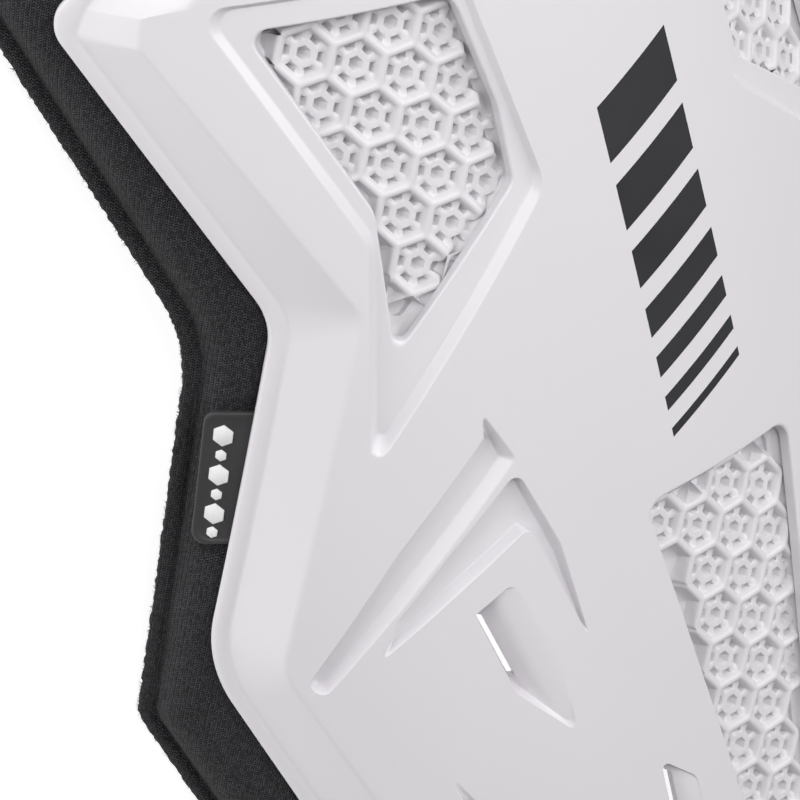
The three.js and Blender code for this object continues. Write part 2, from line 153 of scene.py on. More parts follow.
# Grooves: the edge of each corner on the face, and the floor's corner below it with its depth.
PILL_GROOVE = rows(
    Fold,
    (-60, 13, 0.6, -60.5, 9.5, 0.4, 0.5),
    (-61.1, 6, 1, -60.6, 4.8, 0.6, 3),
    (-88, -16.9, 40, -87.4, -17.8, 40, 3),
    (-116.8, -46.3, 2.4, -115.6, -46.6, 1.4, 3),
    (-113.4, -50.4, 2.4, -114.2, -48.4, 1.4, 3),
    (-83.2, -25.6, 40, -85.6, -23.5, 40, 3),
    (-54.6, -1.8, 1.5, -58.2, -0.8, 0.8, 3),
)
FORK_GROOVE = rows(
    Fold,
    (-55, -5, 2.4, -55.8, -7.4, 1.2, 3),
    (-77.2, -22, 30, -76.7, -23, 30, 3),
    (-91.6, -34.2, 5, -90.9, -34.9, 4, 2.6),
    (-97.9, -43.8, 0.5, -95.3, -41, 0.3, 1.6),
    (-76, -31.5, 60, -76.6, -29.2, 30, 3),
    (-55.3, -20.4, 1.6, -56.8, -19.4, 1, 3),
    (-46.3, -56.6, 0.3, -47.3, -53, 0.2, 1.4),
    (-48.4, -28, 16, -50.2, -30.4, 8, 2),
)
SIDE_GROOVE = rows(
    Fold,
    (-88.6, -78.5, 0.6, -87.6, -82, 0.4, 0.5),
    (-83, -104, 2.8, -82.2, -104, 2, 2.4),
    (-71, -128, 0.8, -73.6, -122.5, 0.4, 0.8),
    (-77.4, -101, 2.8, -79.4, -101.6, 2, 2.4),
)

# Louvres: the edge on the face, the floor's edge, where the floor falls from, which way, over what width
# and how deep, and the slot.
Louvre = namedtuple("Louvre", "edge floor hinge falls_to width depth slot")
LOUVRES = [
    Louvre(
        edge=rows(
            Corner, (-73.2, -38.6, 0.8), (-67.5, -63, 2), (-54.4, -80.2, 1.1), (-54.6, -62, 14),
            (-61.6, -33, 3),
        ),
        floor=rows(
            Corner, (-72.9, -38.9, 0.8), (-67.6, -60.8, 1.4), (-55.1, -77.6, 1), (-55, -62, 14),
            (-61.9, -33.4, 3),
        ),
        hinge=(-61.6, -35.7),
        falls_to=(-0.979, -0.205),
        width=11.5,
        depth=5.6,
        slot=rows(Corner, (-72.1, -41.7, 0.4), (-67.5, -60.6, 0.4), (-66.2, -60.3, 0.4), (-70.9, -41.4, 0.4)),
    ),
    Louvre(
        edge=rows(
            Corner, (-34.5, -97.4, 1.2), (-33.8, -130, 4), (-27.6, -143, 1.6), (-24.4, -128, 12),
            (-25.4, -106.6, 4),
        ),
        floor=rows(
            Corner, (-34.2, -98, 1.2), (-33.5, -128.6, 3), (-27.6, -140.5, 1.2), (-24.8, -128, 12),
            (-25.7, -107, 4),
        ),
        hinge=(-24.6, -110),
        falls_to=(-1, 0),
        width=9.5,
        depth=4.8,
        slot=rows(Corner, (-33.6, -101.5, 0.5), (-33.1, -126, 0.5), (-30.8, -126, 0.5), (-31.2, -103.5, 0.5)),
    ),
]

# The plain slanted bars printed across the breastbone: where each one's middle lies, and its width.
Bar = namedtuple("Bar", "v width")
BAR_LENGTH = 25.0
BAR_LEAN = 0.42
BARS = rows(Bar, (72, 14.5), (53, 12), (36.5, 10), (22, 7.8), (10, 5.6), (0, 3.8), (-8, 2.4))


def bend(points):
    """Flat u, v, h in millimetres to the frame in metres."""
    u, v, h = np.asarray(points, float).T
    reach = CHEST_RADIUS + h
    x = reach * np.sin(u / CHEST_RADIUS)
    bow = (v - SPINE_LEVEL_V) ** 2 / (2 * SPINE_RADIUS)
    z = reach * np.cos(u / CHEST_RADIUS) - CHEST_RADIUS - bow + REST_HEIGHT
    return np.column_stack([x, v - CENTRE_Y, z]) / 1000


def rounded_step(x):
    """0 below 0 and 1 above 1, level at both ends."""
    x = np.clip(x, 0, 1)
    return x * x * (3 - 2 * x)


def whole(half):
    """A half outline closed by its mirror image."""
    return half + [c._replace(u=-c.u) for c in reversed(half)]


def on_side(table, side):
    """A table of the viewer's left, or turned over to the right."""
    if side < 0:
        return table
    flips = [f for f in ("u", "fu") if f in table[0]._fields]
    return [c._replace(**{f: -getattr(c, f) for f in flips}) for c in reversed(table)]


def inset(table, d):
    """The corners moved inwards, each edge staying parallel to itself."""
    place = np.array([(c.u, c.v) for c in table], float)
    moved = []
    for i, corner in enumerate(table):
        a = place[i] - place[i - 1]
        b = place[(i + 1) % len(table)] - place[i]
        a /= np.hypot(*a)
        b /= np.hypot(*b)
        cross = a[0] * b[1] - a[1] * b[0]
        along = -d * (1 - a @ b) / cross if abs(cross) > 1e-6 else 0.0
        u, v = place[i] + d * np.array([-a[1], a[0]]) + along * a
        moved.append(corner._replace(u=u, v=v))
    return moved


def set_in(table, d, shoulder, share):
    """The shell's outline set in by d, with its own shoulder corners and a share of the others' radii."""
    half = [c._replace(r=c.r * share) for c in inset(table, d)[: len(table) // 2]]
    half[SHOULDER_FIRST : SHOULDER_FIRST + len(shoulder)] = shoulder
    return whole(half)


# A corner's arc takes up no more than this share of the shorter edge beside it.
ARC_SHARE = 0.46


def outline(table, d=0.0, step=2.5, guide=None):
    """The closed line of a table set in by d, with its corners rounded, as u, v points.
    The guide table gives the number of points, so that lines with one guide match point for point."""
    guide = guide or table
    moved = inset(table, d) if d else table
    count = len(table)

    def turn_at(shape, i):
        a = np.array([shape[i].u - shape[i - 1].u, shape[i].v - shape[i - 1].v], float)
        after = shape[(i + 1) % count]
        b = np.array([after.u - shape[i].u, after.v - shape[i].v], float)
        return a, b, math.atan2(a[0] * b[1] - a[1] * b[0], a @ b)

    arcs = []
    for i in range(count):
        a, b, turn = turn_at(moved, i)
        half = math.tan(abs(turn) / 2)
        radius = min(moved[i].r, ARC_SHARE * min(np.hypot(*a), np.hypot(*b)) / half)
        a /= np.hypot(*a)
        sign = math.copysign(1, turn)
        middle = np.array([moved[i].u, moved[i].v]) - a * radius * half
        middle += np.array([-a[1], a[0]]) * radius * sign
        start = math.atan2(-a[0] * sign, a[1] * sign)
        guide_turn = abs(turn_at(guide, i)[2])
        steps = max(4, math.ceil(guide_turn * guide[i].r / step * 1.5))
        angles = start + turn * np.linspace(0, 1, steps + 1)
        arcs.append(middle + radius * np.column_stack([np.cos(angles), np.sin(angles)]))
    line = []
    for i in range(count):
        after = (i + 1) % count
        length = math.hypot(guide[after].u - guide[i].u, guide[after].v - guide[i].v)
        steps = max(1, math.ceil(length / step))
        share = np.linspace(0, 1, steps + 1)[1:-1, None]
        line += [arcs[i], arcs[i][-1] + share * (arcs[after][0] - arcs[i][-1])]
    return np.vstack(line)


def raised(line, h):
    """A line of u, v points lifted to a height, or to a height that follows the place."""
    level = h(line) if callable(h) else np.full(len(line), h)
    return np.column_stack([line, level])


def in_parts(points):
    """The numbers of the points, a few thousand at a time."""
    return np.array_split(np.arange(len(points)), len(points) // 4000 + 1)


def inside(points, line):
    """Which u, v points lie inside a closed line."""
    p, q = line[:, :2], np.roll(line[:, :2], -1, axis=0)
    rise = np.where(np.abs(q[:, 1] - p[:, 1]) < 1e-12, 1e-12, q[:, 1] - p[:, 1])
    odd = np.zeros(len(points), bool)
    for part in in_parts(points):
        u, v = points[part, 0:1], points[part, 1:2]
        crosses = (p[:, 1] > v) != (q[:, 1] > v)
        odd[part] = (crosses & (u < p[:, 0] + (v - p[:, 1]) * (q[:, 0] - p[:, 0]) / rise)).sum(1) % 2 == 1
    return odd


def away_from(points, line):
    """How far u, v points lie from the points of a line."""
    nearest = np.full(len(points), np.inf)
    for part in in_parts(points):
        gaps = points[part, None, :2] - line[None, :, :2]
        nearest[part] = np.sqrt((gaps**2).sum(2)).min(1)
    return nearest


def ease(x, soft):
    """0 below 0 and 1 above 1, rounded over soft on both sides of 0 and over twice soft up to 1."""
    x = np.asarray(x, float)
    steep = 1 / (1 - soft)
    foot = np.where(x < -soft, 0, np.where(x < soft, (x + soft) ** 2 / (4 * soft), x))
    top = np.maximum(x - (1 - 2 * soft), 0)
    return np.where(x >= 1, 1.0, steep * (foot - top**2 / (4 * soft)))


def soft_min(a, b, k):
    """The lower of two heights, with the corner between them rounded."""
    share = np.clip(0.5 + 0.5 * (b - a) / k, 0, 1)
    return b + (a - b) * share - k * share * (1 - share)


# Areas smaller than this, in square millimetres, are only the rounding between two lines.
SLIVER = 0.01


def areas_between(triangles, lined):
    """The triangles grouped into areas that the lined edges part."""
    beside = {}
    for i, triangle in enumerate(triangles):
        for k in range(3):
            beside.setdefault(frozenset((triangle[k - 1], triangle[k])), []).append(i)
    waiting, areas = set(range(len(triangles))), []
    while waiting:
        area, edge = [], [waiting.pop()]
        while edge:
            i = edge.pop()
            area.append(i)
            triangle = triangles[i]
            for k in range(3):
                side = frozenset((triangle[k - 1], triangle[k]))
                if side in lined:
                    continue
                fresh = [j for j in beside[side] if j in waiting]
                waiting.difference_update(fresh)
                edge += fresh
        areas.append(area)
    return areas


class Skin:
    """Points in flat u, v, h and the faces between them, all of one piece."""

    def __init__(self):
        self.points, self.faces, self.finishes = [], [], []

    def add(self, points, faces, finish=0):
        first = len(self.points)
        self.points += [tuple(p) for p in points]
        self.faces += [tuple(first + i for i in face) for face in faces]
        self.finishes += list(finish) if np.ndim(finish) else [finish] * len(faces)

    def loft(self, rings, finish=0):
        """Quads from ring to ring of equal length. Rings that go inwards and up face out."""
        count = len(rings[0])
        faces = []
        for low in range(0, count * (len(rings) - 1), count):
            for i in range(count):
                j = (i + 1) % count
                faces.append((low + i, low + j, low + count + j, low + count + i))
        self.add(np.vstack(rings), faces, finish)

    def fill(self, border, holes=(), level=None, grid=None, marks=(), up=True, finish=0):
        """Triangles inside a border line and outside the holes; the faces in a mark get the second finish."""
        lines = [border, *holes, *marks]
        points = np.vstack([line if line.shape[1] == 3 else raised(line, level) for line in lines])
        edges, first = [], 0
        for line in lines:
            count = len(line)
            edges += [(first + i, first + (i + 1) % count) for i in range(count)]
            first += count
        if grid:
            low, high = border[:, :2].min(0), border[:, :2].max(0)
            u, v = np.meshgrid(np.arange(low[0], high[0], grid), np.arange(low[1], high[1], grid * 0.87))
            u[::2] += grid / 2
            spots = np.column_stack([u.ravel(), v.ravel()])
            spots = spots[inside(spots, border) & (away_from(spots, points) > 0.6 * grid)]
            points = np.vstack([points, raised(spots, level)])
        places, sides, triangles, origins, parents, _ = delaunay_2d_cdt(
            [Vector(p[:2]) for p in points], edges, [], 0, 1e-6
        )
        flat = np.array([(p.x, p.y) for p in places])
        height = np.array([points[o[0]][2] if o else np.nan for o in origins])
        if np.isnan(height).any():
            height = np.where(np.isnan(height), raised(flat, level)[:, 2], height)
        lined = {frozenset(side) for side, parent in zip(sides, parents) if parent}
        kept, finishes = [], []
        for area in areas_between(triangles, lined):
            corners = flat[np.array([triangles[i] for i in area])]
            a, b = corners[:, 1] - corners[:, 0], corners[:, 2] - corners[:, 0]
            sizes = np.abs(a[:, 0] * b[:, 1] - a[:, 1] * b[:, 0]) / 2
            middle = corners[np.argmax(sizes)].mean(0)[None]
            outside = not inside(middle, border)[0] or any(inside(middle, hole)[0] for hole in holes)
            if outside or sizes.sum() < SLIVER:
                continue
            kept += [triangles[i] if up else triangles[i][::-1] for i in area]
            marked = any(inside(middle, mark)[0] for mark in marks)
            finishes += [1 if marked else finish] * len(area)
        self.add(np.column_stack([flat, height]), kept, finishes)


def put_in(name, data):
    """A new object in the scene."""
    made = bpy.data.objects.new(name, data)
    scene.collection.objects.link(made)
    return made


def shown(name, skin, materials, slot, *nodes, smooth_below=35, flat_faces=False):
    """The bent piece of a skin, in its materials, standing for its CAD nodes.
    With flat faces, the large faces stay flat to the eye and the narrow ones carry the rounding."""
    mesh = bpy.data.meshes.new(name)
    points = np.array(skin.points)
    mesh.from_pydata(bend(points).tolist(), [], skin.faces)
    mesh.polygons.foreach_set("material_index", skin.finishes)
    flat = mesh.uv_layers.new(name="flat")
    corners = np.zeros(len(mesh.loops), int)
    mesh.loops.foreach_get("vertex_index", corners)
    flat.data.foreach_set("uv", (points[corners, :2] / 1000).ravel())
    made = bmesh.new()
    made.from_mesh(mesh)
    bmesh.ops.remove_doubles(made, verts=made.verts, dist=2e-6)
    bmesh.ops.recalc_face_normals(made, faces=made.faces)
    made.to_mesh(mesh)
    made.free()
    mesh.shade_smooth()
    mesh.set_sharp_from_angle(angle=math.radians(smooth_below))
    for material in materials:
        mesh.materials.append(material)
    piece = put_in(name, mesh)
    if flat_faces:
        piece.modifiers.new("flat_faces", "WEIGHTED_NORMAL").keep_sharp = True
    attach(piece, "root")
    if nodes:
        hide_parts(*nodes)
    return piece


def linear(colour):
    """An sRGB hex colour as linear red, green, blue and 1."""
    parts = [int(colour[i : i + 2], 16) / 255 for i in (1, 3, 5)]
    return [c / 12.92 if c <= 0.04045 else ((c + 0.055) / 1.055) ** 2.4 for c in parts] + [1.0]


def put(tree, made, name, value):
    """Gives a node's input a value, or the socket that feeds it."""
    if isinstance(value, bpy.types.NodeSocket):
        tree.links.new(value, made.inputs[name])
    else:
        made.inputs[name].default_value = value


def node(tree, kind, inputs=(), **settings):
    """A shader node with its settings and inputs."""
    made = tree.nodes.new(kind)
    for name, value in settings.items():
        setattr(made, name, value)
    for name, value in dict(inputs).items():
        put(tree, made, name, value)
    return made


def new_material(name):
    """A material, its nodes and its surface."""
    material = bpy.data.materials.new(name)
    material.use_nodes = True
    tree = material.node_tree
    return material, tree, tree.nodes["Principled BSDF"]


def feed(tree, shader, **inputs):
    """Gives a surface its inputs."""
    for name, value in inputs.items():
        put(tree, shader, name.replace("_", " "), value)


def blend(tree, share, one, other, **settings):
    """The colour that lies between two hex colours by a share."""
    inputs = {"Factor": share, "A": linear(one), "B": linear(other)}
    return node(tree, "ShaderNodeMix", inputs, data_type="RGBA", **settings).outputs["Result"]


def noise(tree, size, detail, place=None):
    """Cloudy noise with blotches of a size in metres, by the place on the piece."""
    place = place or node(tree, "ShaderNodeTexCoord").outputs["Object"]
    inputs = {"Vector": place, "Scale": 1 / size, "Detail": detail}
    return node(tree, "ShaderNodeTexNoise", inputs).outputs["Fac"]


def maths(tree, operation, *values):
    """One step of arithmetic on values and sockets."""
    return node(tree, "ShaderNodeMath", enumerate(values), operation=operation).outputs[0]


def mould_plastic(name, colour, shade, roughness):
    """White polypropylene from a polished mould: an even, slightly waxy white with broad soft reflections."""
    material, tree, shader = new_material(name)
    flow = noise(tree, 0.045, 2.0)
    span = {"Value": flow, "To Min": roughness - 0.03, "To Max": roughness + 0.04}
    gloss = node(tree, "ShaderNodeMapRange", span).outputs["Result"]
    # Mould grain of 0.5 mm, drawn at 0.8 mm so that it shows.
    grain = noise(tree, 0.0008, 1.0)
    bump = node(tree, "ShaderNodeBump", {"Height": grain, "Strength": 0.05, "Distance": 0.0001})
    tone = blend(tree, flow, colour, shade)
    feed(tree, shader, Base_Color=tone, Roughness=gloss, IOR=1.49, Normal=bump.outputs["Normal"])
    return material


def print_ink(name):
    """Dark grey pad-printed ink: flush with the plastic, smooth and glossier than it."""
    material, tree, shader = new_material(name)
    cloud = noise(tree, 0.02, 3.0)
    feed(tree, shader, Base_Color=blend(tree, cloud, "#2E2E30", "#3A3A3D"), Roughness=0.22)
    return material


# The knit. Its stitches are 0.45 by 0.5 mm, drawn at 0.62 by 0.7 mm so that they show.
STITCH_ACROSS = 0.00062
STITCH_ALONG = 0.0007
STITCH_SLANT = 0.8
STITCH_CROWN = 3.0
STITCH_DIM, STITCH_BRIGHT = 0.3, 1.3
COLUMN_TURN = 24
COLUMN_WAVER = 0.8


def knit_cloth(name):
    """Black polyester knit: matt columns of short slanted stitches, with a painted highlight on each stitch's
    crown, stronger on some stitches than others, and painted shade in the gaps between columns.
    """
    material, tree, shader = new_material(name)
    flat = node(tree, "ShaderNodeUVMap", uv_map="flat").outputs["UV"]
    turn = (0, 0, math.radians(COLUMN_TURN))
    lie = node(tree, "ShaderNodeMapping", {"Vector": flat, "Rotation": turn}).outputs["Vector"]
    across, along, _ = node(tree, "ShaderNodeSeparateXYZ", {"Vector": lie}).outputs
    # A slight waver, so that no two columns run alike.
    waver = noise(tree, 0.003, 2.0, flat)
    column = maths(tree, "DIVIDE", across, STITCH_ACROSS)
    column = maths(tree, "MULTIPLY_ADD", waver, COLUMN_WAVER, column)
    slant = maths(tree, "PINGPONG", column, 1.0)
    row = maths(tree, "DIVIDE", along, STITCH_ALONG)
    row = maths(tree, "MULTIPLY_ADD", slant, STITCH_SLANT, row)
    # A stitch is high along its middle and falls off to the gap between two columns.
    thread = maths(tree, "COSINE", maths(tree, "MULTIPLY", row, 2 * math.pi))
    ridge = maths(tree, "MULTIPLY_ADD", thread, -0.5, 0.5)
    gap = maths(tree, "SUBTRACT", slant, 0.5)
    height = maths(tree, "MULTIPLY_ADD", maths(tree, "MULTIPLY", gap, gap), -STITCH_CROWN, ridge)
    # Each stitch's painted highlight has its own strength.
    numbers = {"X": maths(tree, "FLOOR", column), "Y": maths(tree, "FLOOR", row)}
    stitch = node(tree, "ShaderNodeCombineXYZ", numbers).outputs["Vector"]
    chance = node(tree, "ShaderNodeTexWhiteNoise", {"Vector": stitch}, noise_dimensions="2D")
    span = {"Value": chance.outputs["Value"], "To Min": STITCH_DIM, "To Max": STITCH_BRIGHT}
    stitch_highlight_strength = node(tree, "ShaderNodeMapRange", span).outputs["Result"]
    # The colour follows the height: painted shade in the gaps between columns and a painted highlight on each
    # stitch's crown; the thread itself is near black.
    painted_stitch_light = maths(tree, "MULTIPLY", height, stitch_highlight_strength)
    tone = blend(tree, painted_stitch_light, "#060607", "#4E4E52", clamp_factor=True)
    bump = node(tree, "ShaderNodeBump", {"Height": height, "Strength": 0.8, "Distance": 0.0003})
    feed(tree, shader, Base_Color=tone, Roughness=0.85, Normal=bump.outputs["Normal"])
    feed(tree, shader, Sheen_Weight=0.08, Sheen_Roughness=0.4, Specular_IOR_Level=0.2)
    return material


def soft_rubber(name, dark, light, roughness):
    """Moulded soft PVC rubber: matt and even, with a fine satin grain."""
    material, tree, shader = new_material(name)
    grain = noise(tree, 0.0007, 2.0)
    bump = node(tree, "ShaderNodeBump", {"Height": grain, "Strength": 0.15, "Distance": 0.0002})
    tone = blend(tree, grain, dark, light)
    feed(tree, shader, Base_Color=tone, Roughness=roughness, IOR=1.5, Normal=bump.outputs["Normal"])
    return material


def matt_paper(name):
    """Pale matt paper, lit a little from within so that it stays near white."""
    material, tree, shader = new_material(name)
    fibre = node(tree, "ShaderNodeTexNoise", {"Scale": 1 / 0.004, "Detail": 2.0}).outputs["Fac"]
    feed(tree, shader, Base_Color=blend(tree, fibre, "#B4B4B4", "#BCBCBC"), Roughness=0.9)
    feed(tree, shader, Emission_Color=linear("#FFFFFF"), Emission_Strength=0.85)
    return material


shell_plastic = mould_plastic("moulded_polypropylene_gloss", "#D6D3D7", "#D3D0D4", 0.33)
grille_plastic = mould_plastic("moulded_polypropylene_satin", "#D3D1D4", "#D0CED1", 0.42)
bar_ink = print_ink("pad_printed_ink")
pad_knit = knit_cloth("knit_polyester")
tag_rubber = soft_rubber("moulded_rubber_dark", "#2D2D2E", "#38383A", 0.55)
stud_rubber = soft_rubber("moulded_rubber_light", "#DCDCDC", "#E8E8E8", 0.45)


def rim(d):
    """The shell's height at a distance from its edge: lip, slope and face, with soft corners between them."""
    lip = LIP_LEVEL + LIP_CROWN * (1 - ((d - 0.5 * LIP_WIDTH) / (0.5 * LIP_WIDTH)) ** 2)
    slope = LIP_LEVEL + SLOPE * (d - LIP_WIDTH)
    crease = LIP_CREASE * np.exp(-(((d - LIP_WIDTH) / CREASE_WIDTH) ** 2))
    return soft_min(-soft_min(-lip, -slope, CREASE_SOFT) - crease, 0.0, RIDGE_SOFT)


def recess_floor(line):
    """The floor of an upper vent's recess is deepest at its lower tip."""
    return -np.interp(line[:, 1], [8, 120], [3.1, 1.5])


def bevel(top, low, floor, steps=BEVEL_STEPS):
    """Rings from an edge on the face down to a floor, soft at both."""
    lines = [(top + (low - top) * x, ease(x, BEVEL_SOFT)) for x in steps]
    return [np.column_stack([line, floor(line) * share]) for line, share in lines]


def rounded_mouth(opening, face, under):
    """Rings that turn from a face down into the wall of an opening, and on to its lower edge."""
    rings = []
    for angle in np.linspace(0, math.pi / 2, 5):
        line = outline(opening, EDGE_ROUND * (math.sin(angle) - 1), guide=opening)
        ring = raised(line, face)
        ring[:, 2] -= EDGE_ROUND * (1 - math.cos(angle))
        rings.append(ring)
    return rings + [raised(outline(opening, OPENING_DRAFT, guide=opening), under)]


def smooth_round(values, width):
    """A running mean round a closed line."""
    padded = np.concatenate([values[-width:], values, values[:width]])
    mean = np.convolve(padded, np.ones(width) / width, mode="same")
    return mean[width:-width]


def boss(skin, line, under, holes=(), grid=None):
    """The outside of a sunk place below the shell's back; gives its line on the back."""
    skin.loft([raised(line, -WALL), raised(line, under)])
    skin.fill(raised(line, under), holes, under, grid=grid, up=False)
    return raised(line, -WALL)


def sink_recess(skin, side):
    """An upper vent's recess and opening. Like the next two, it gives its lines on the face and the back."""
    recess = on_side(UPPER_RECESS, side)
    walls = bevel(outline(recess), outline(on_side(UPPER_RECESS_FLOOR, side), guide=recess), recess_floor)
    skin.loft(walls)
    mouth = rounded_mouth(on_side(UPPER_OPENING, side), recess_floor, RECESS_UNDER)
    skin.loft(mouth)
    skin.fill(walls[-1], [mouth[0]], recess_floor, grid=5)
    return walls[0], boss(skin, outline(recess, -RECESS_BOSS), RECESS_UNDER, [mouth[-1]], grid=8)


def sink_groove(skin, table):
    """A groove with a floor as deep as its corners say."""
    bed = [Corner(c.fu, c.fv, c.fr) for c in table]
    top, low = outline(table, step=1.5), outline(bed, step=1.5, guide=table)
    near = np.argmin(((low[:, None] - np.array([(c.u, c.v) for c in bed])) ** 2).sum(2), axis=1)
    depth = smooth_round(np.array([c.depth for c in table])[near], 9)
    walls = bevel(top, low, lambda line: -depth)
    skin.loft(walls)
    skin.fill(walls[-1])
    return walls[0], boss(skin, walls[0][:, :2], -max(c.depth for c in table) - GROOVE_WALL)


def sink_louvre(skin, louvre, side):
    """A louvre, whose floor falls from its hinge to a slot."""
    table = on_side(louvre.edge, side)
    hinge = np.array([-side * louvre.hinge[0], louvre.hinge[1]])
    way = np.array([-side * louvre.falls_to[0], louvre.falls_to[1]])

    def bed(line):
        share = np.clip((line[:, :2] - hinge) @ way / louvre.width, 0, 1)
        step = LOUVRE_STEP * rounded_step(share / LOUVRE_STEP_PART)
        return -LOUVRE_SINK - step - louvre.depth * share**LOUVRE_CURVE

    def below(line):
        return np.minimum(-0.9 * WALL, bed(line) - GROOVE_WALL)

    low = outline(on_side(louvre.floor, side), step=1.2, guide=table)
    walls = bevel(outline(table, step=1.2), low, lambda line: bed(low), LOUVRE_STEPS)
    skin.loft(walls)
    slot = outline(on_side(louvre.slot, side), step=1.2)
    skin.loft([raised(slot, bed), raised(slot, below)])
    skin.fill(walls[-1], [raised(slot, bed)], bed, grid=1.6)
    around = outline(inset(table, -LOUVRE_BOSS), step=3)
    return walls[0], boss(skin, around, below, [raised(slot, below)], grid=3)


def bar_outline(bar):
    """A bar that leans, with its ends along the breastbone, as a closed line."""
    across = BAR_LENGTH / 2 * np.array([1, BAR_LEAN])
    along = np.array([0, bar.width / 2])
    middle = np.array([0, bar.v])
    corners = [middle + s * across + t * along for s, t in [(1, 1), (-1, 1), (-1, -1), (1, -1)]]
    share = np.linspace(0, 1, 9)[:-1, None]
    return np.vstack([a + (b - a) * share for a, b in zip(corners, corners[1:] + corners[:1])])


def build_shell():
    """The shell: lip, slope, face, recesses, grooves and louvres, all in one skin of the mould's wall."""
    skin = Skin()
    edge = whole(SHELL_HALF)
    foot = outline(edge)
    lip = outline(set_in(edge, LIP_WIDTH, LIP_SHOULDER, 1), guide=edge)
    ridge = outline(set_in(edge, RIDGE_INSET, RIDGE_SHOULDER, RIDGE_CORNER), guide=edge)

    def ring(d, h):
        if d < LIP_WIDTH:
            return raised(foot + (lip - foot) * d / LIP_WIDTH, h)
        return raised(lip + (ridge - lip) * (d - LIP_WIDTH) / (RIDGE_INSET - LIP_WIDTH), h)

    under = [(LIP_WIDTH + 2.2, LIP_UNDER), (0.5, LIP_UNDER), (0.1, LIP_UNDER + 0.15), (0, LIP_UNDER + 0.6)]
    corner = [
        (LIP_ROUND * (1 - math.cos(a)), LIP_LEVEL - LIP_ROUND * (1 - math.sin(a)))
        for a in np.linspace(0, math.radians(75), 6)
    ]
    rings = [ring(d, h) for d, h in under + corner + [(d, float(rim(d))) for d in RIM_STEPS]]
    skin.loft(rings)
    inner = [ring(d, h) for d, h in [(19.6, -WALL), (18.4, -WALL - 0.4), under[0]]]
    skin.loft(inner)

    holes = []
    for side in (-1, 1):
        holes.append(sink_recess(skin, side))
        for groove in (PILL_GROOVE, FORK_GROOVE, SIDE_GROOVE):
            holes.append(sink_groove(skin, on_side(groove, side)))
        for louvre in LOUVRES:
            holes.append(sink_louvre(skin, louvre, side))
    mouth = rounded_mouth(whole(LOWER_OPENING_HALF), 0.0, -WALL)
    skin.loft(mouth)
    holes.append((mouth[0], mouth[-1]))
    face_holes, back_holes = zip(*holes)
    skin.fill(rings[-1], face_holes, 0.0, grid=5, marks=[bar_outline(bar) for bar in BARS])
    skin.fill(inner[0], back_holes, -WALL, grid=9, up=False)
    shown("shell", skin, [shell_plastic, bar_ink], "moulded_shell", "chest_shell", flat_faces=True)


# One sixth of a honeycomb cell: rows from the cell's middle to the middle of its rib, with the height from
# the rib's top beside a hole and on the spoke. The rows from WEB_FROM to WEB_TO hold the small outer hole.
Row = namedtuple("Row", "reach beside spoke")
WEB_ROWS = rows(
    Row, (1.55, -1.75, -1.75), (1.75, -1.5, -1.5), (2.5, -1.45, -1.45), (3.3, -1.45, -1.4),
    (3.5, -1.65, -1.35), (4.2, -1.65, -1.2), (4.95, -1.55, -1.05), (5.15, -1.25, -0.9),
    (5.45, -0.6, -0.45), (5.8, -0.2, -0.16), (6.15, -0.05, -0.04), (6.5, 0, 0),
)
# A blind cell: its ribs stand on its floor.
RIB_ROWS = rows(
    Row, (0.05, -4.6, -4.6), (1.6, -4.5, -4.5), (3.8, -4.3, -4.3), (4.6, -3.8, -3.8), (5.2, -1.6, -1.6),
    (5.5, -0.6, -0.6), (5.8, -0.2, -0.2), (6.15, -0.05, -0.05), (6.5, 0, 0),
)
# A finned blind cell: six fins from its corners meet in its middle, with a pocket between each two.
FIN_ROWS = rows(
    Row, (0.05, -0.5, -0.5), (0.9, -1.3, -0.45), (1.8, -2.3, -0.4), (3, -3, -0.35), (4.6, -2.8, -0.3),
    (5.2, -1.4, -0.25), (5.5, -0.6, -0.2), (5.8, -0.2, -0.12), (6.15, -0.05, -0.04), (6.5, 0, 0),
)
HOLE, WEB_FROM, WEB_MIDDLE, WEB_TO, RIB_FROM, RIB = 1.55, 3.5, 4.2, 4.95, 0.05, 6.5
# The holes narrow towards the back: where each row of a hole's edge comes out there.
BACK_REACH = {HOLE: 0.65, WEB_FROM: 4.05, WEB_MIDDLE: 4.2, WEB_TO: 4.4}
BACK_COLUMN = 0.45
# The height of the spokes of an open sector and of a bare floor, from the rib's top.
OPEN_SPOKE = -1.3
CELL_FLOOR = -4.6
# The points across a sixth from side to side, and where the small hole's edge lies.
CELL_COLUMNS = np.array([-1, -0.75, -0.5, -0.2, 0.2, 0.5, 0.75, 1])
HOLE_EDGE = 0.5
# The holes run square to the plate down to this, and then straight back out of the chest as the mould opens.
WEB_DROP = 1.8
# How far outside the opening cells are laid, count as near it, and are trimmed.
CELLS_TO, NEAR_TO, TRIM_TO = 9.0, 4.0, 0.75 * GRILLE_MARGIN
# The frame round the cells: how far inside the opening's edge, and the height from the rib's top.
GRILLE_FRAME = rows(
    Profile, (-GRILLE_MARGIN, -GRILLE_THICK), (-GRILLE_MARGIN, -0.3), (0.3 - GRILLE_MARGIN, 0), (-0.9, 0),
    (-0.5, -0.3), (0.2, -2.4), (0.9, -2.9), (1.6, -3.1), (1.6, -GRILLE_THICK),
    (-GRILLE_MARGIN, -GRILLE_THICK),
)


